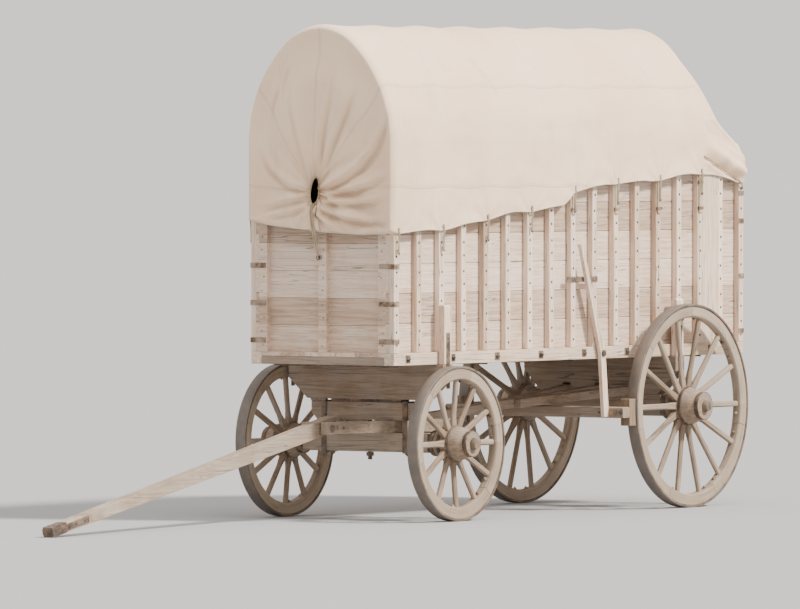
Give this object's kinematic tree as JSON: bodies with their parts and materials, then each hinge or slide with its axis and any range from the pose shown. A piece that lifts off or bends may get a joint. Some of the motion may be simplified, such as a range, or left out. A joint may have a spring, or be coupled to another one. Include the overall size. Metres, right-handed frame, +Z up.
{
  "type": "covered freight wagon",
  "caption": "High-sided wooden freight wagon with a canvas cover on bows, spoked iron-tyred wheels and an ox tongue let down to the ground.",
  "frame": {"origin": "on the ground below the middle of the whole length, tongue let down", "axes": "+X forwards along the wagon, +Y to its left, +Z up"},
  "size_m": [7.9244, 1.891, 3.5904],
  "materials": {
    "oak": "matte",
    "plank": "matte",
    "wheel_wood": "matte",
    "bow_wood": "matte",
    "brake_wood": "matte",
    "canvas": "matte",
    "rope": "matte",
    "iron": "matte",
    "tyre_iron": "satin"
  },
  "bodies": {
    "wagon": {"floor_boards": "plank", "cross_sills": "oak", "side_sills": "oak", "side_boards_left": "plank", "side_boards_right": "plank", "ribs_left": "oak", "ribs_right": "oak", "front_end": "plank", "tailgate_eyes": "iron", "bows": "bow_wood", "cover": "canvas", "cover_front": "canvas", "front_bolster": "oak", "rear_bolster": "oak", "bolster_stakes": "oak", "bolster_plate": "iron", "king_bolt": "iron", "reach": "oak", "rear_hounds": "oak", "rear_axle": "oak", "rear_axle_arms": "iron", "brake_beam": "oak", "brake_blocks": "brake_wood", "brake_irons": "iron", "brake_lever": "oak", "brake_rack": "iron"},
    "front_gear": {"front_axle": "oak", "front_axle_arms": "iron", "front_axle_clips": "iron", "sand_board": "oak", "sand_board_plate": "iron", "front_hounds": "oak", "sway_bar": "oak", "tongue_pin": "iron"},
    "tongue_body": {"tongue": "oak", "tongue_iron": "iron"},
    "tailgate_body": {"tailgate": "plank", "tailgate_straps": "iron"},
    "wheel_front_left": {"wheel_front_left_hub": "wheel_wood", "wheel_front_left_bands": "iron", "wheel_front_left_spokes": "wheel_wood", "wheel_front_left_felloes": "wheel_wood", "wheel_front_left_tyre": "tyre_iron"},
    "wheel_front_right": {"wheel_front_right_hub": "wheel_wood", "wheel_front_right_bands": "iron", "wheel_front_right_spokes": "wheel_wood", "wheel_front_right_felloes": "wheel_wood", "wheel_front_right_tyre": "tyre_iron"},
    "wheel_rear_left": {"wheel_rear_left_hub": "wheel_wood", "wheel_rear_left_bands": "iron", "wheel_rear_left_spokes": "wheel_wood", "wheel_rear_left_felloes": "wheel_wood", "wheel_rear_left_tyre": "tyre_iron"},
    "wheel_rear_right": {"wheel_rear_right_hub": "wheel_wood", "wheel_rear_right_bands": "iron", "wheel_rear_right_spokes": "wheel_wood", "wheel_rear_right_felloes": "wheel_wood", "wheel_rear_right_tyre": "tyre_iron"}
  },
  "joints": [
    {"name": "front_gear_turn", "type": "hinge", "parent": "wagon", "child": "front_gear", "pos_m": [0.07781, 0, 0.8605], "axis": [0, 0, 1], "range_deg": [-30, 30]},
    {"name": "tongue_lift", "type": "hinge", "parent": "front_gear", "child": "tongue_body", "pos_m": [0.71781, 0, 0.675], "axis": [0, -1, 0], "range_deg": [0, 35]},
    {"name": "tailgate_drop", "type": "hinge", "parent": "wagon", "child": "tailgate_body", "pos_m": [-3.93819, 0, 1.178], "axis": [0, -1, 0], "range_deg": [0, 165]},
    {"name": "wheel_front_left_spin", "type": "hinge", "parent": "front_gear", "child": "wheel_front_left", "pos_m": [0.07781, 0.76, 0.56], "axis": [0, 1, 0], "continuous": true},
    {"name": "wheel_front_right_spin", "type": "hinge", "parent": "front_gear", "child": "wheel_front_right", "pos_m": [0.07781, -0.76, 0.56], "axis": [0, 1, 0], "continuous": true},
    {"name": "wheel_rear_left_spin", "type": "hinge", "parent": "wagon", "child": "wheel_rear_left", "pos_m": [-2.97219, 0.76, 0.76], "axis": [0, 1, 0], "continuous": true},
    {"name": "wheel_rear_right_spin", "type": "hinge", "parent": "wagon", "child": "wheel_rear_right", "pos_m": [-2.97219, -0.76, 0.76], "axis": [0, 1, 0], "continuous": true}
  ]
}
